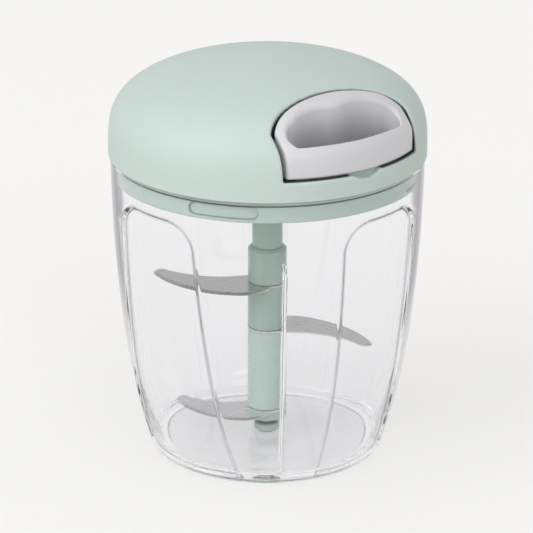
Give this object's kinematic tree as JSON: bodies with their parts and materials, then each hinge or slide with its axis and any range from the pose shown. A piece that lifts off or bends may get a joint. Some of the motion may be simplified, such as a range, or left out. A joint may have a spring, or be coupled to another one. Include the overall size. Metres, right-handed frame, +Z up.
{
  "type": "pull-string food chopper",
  "caption": "Hand food chopper: a clear tub with curved blades on an upright shaft, spun by pulling a cord handle out of the domed lid.",
  "frame": {"origin": "middle of the bowl's underside, on the surface it stands on", "axes": "+Z up along the blade shaft, -Y the way the handle pulls out"},
  "size_m": [0.1302, 0.1302, 0.1681],
  "materials": {
    "clear_tub": "clear moulded plastic",
    "green_shell": "fine matte sage green",
    "shaft_green": "smooth sage green",
    "grey_handle": "satin light grey",
    "blade_steel": "brushed stainless",
    "steel": "turned stainless",
    "screw_steel": "zinc plated",
    "spring_steel": "blued strip",
    "cord": "braided nylon",
    "guide": "white acetal",
    "reel_plastic": "natural acetal",
    "clutch_plastic": "glass filled nylon",
    "bush_plastic": "dark acetal",
    "bush_brass": "turned brass"
  },
  "bodies": {
    "bowl": {"bowl": "clear_tub", "pivot_pin": "steel"},
    "lid": {"lid_cover": "green_shell", "lid_base": "green_shell", "cover_screws": "screw_steel", "cord_guide": "guide", "axle_washer": "steel", "axle_screw": "screw_steel", "drive_bush": "bush_plastic"},
    "handle": {"pull_handle": "grey_handle", "cord_knot": "cord", "pull_cord": "cord"},
    "reel": {"reel": "reel_plastic", "reel_cover": "reel_plastic", "cord_winding": "cord", "recoil_spring": "spring_steel", "pawl_pins": "steel", "pawl_spring_a": "spring_steel", "pawl_spring_b": "spring_steel"},
    "pawl_a": {"pawl_a": "clutch_plastic"},
    "pawl_b": {"pawl_b": "clutch_plastic"},
    "drive": {"drive_coupling": "clutch_plastic"},
    "blade_set": {"shaft_core": "shaft_green", "shaft_neck": "shaft_green", "upper_sleeve": "shaft_green", "middle_sleeve": "shaft_green", "lower_sleeve": "shaft_green", "foot_sleeve": "shaft_green", "upper_blade": "blade_steel", "middle_blade": "blade_steel", "lower_blade": "blade_steel", "foot_bush": "bush_brass"}
  },
  "joints": [
    {"name": "lid_lift", "type": "slide", "parent": "bowl", "child": "lid", "axis": [0, 0, 1], "range_m": [0, 0.16]},
    {"name": "handle_pull", "type": "slide", "parent": "lid", "child": "handle", "axis": [0, -1, 0], "range_m": [0, 0.3], "stiffness_N_per_m": 20, "springref_m": -0.1, "deforming": ["pull_cord"]},
    {"name": "reel_spin", "type": "hinge", "parent": "lid", "child": "reel", "pos_m": [0, 0, 0.144], "axis": [0, 0, 1], "range_deg": [0, 1013], "deforming": ["recoil_spring"]},
    {"name": "pawl_a_swing", "type": "hinge", "parent": "reel", "child": "pawl_a", "pos_m": [0.01082, -0.01082, 0.136], "axis": [0, 0, 1], "range_deg": [0, 11], "deforming": ["pawl_spring_a"]},
    {"name": "pawl_b_swing", "type": "hinge", "parent": "reel", "child": "pawl_b", "pos_m": [-0.01082, 0.01082, 0.136], "axis": [0, 0, 1], "range_deg": [0, 11], "deforming": ["pawl_spring_b"]},
    {"name": "drive_spin", "type": "hinge", "parent": "lid", "child": "drive", "pos_m": [0, 0, 0.125], "axis": [0, 0, 1], "range_deg": [0, 1013]},
    {"name": "blade_spin", "type": "hinge", "parent": "bowl", "child": "blade_set", "pos_m": [0, 0, 0.01], "axis": [0, 0, 1], "range_deg": [0, 1013]}
  ],
  "couplings": [
    {"joint": "reel_spin", "follows": "handle_pull", "rad_per_m": 58.824},
    {"joint": "drive_spin", "follows": "handle_pull", "rad_per_m": 58.824},
    {"joint": "blade_spin", "follows": "handle_pull", "rad_per_m": 58.824}
  ]
}
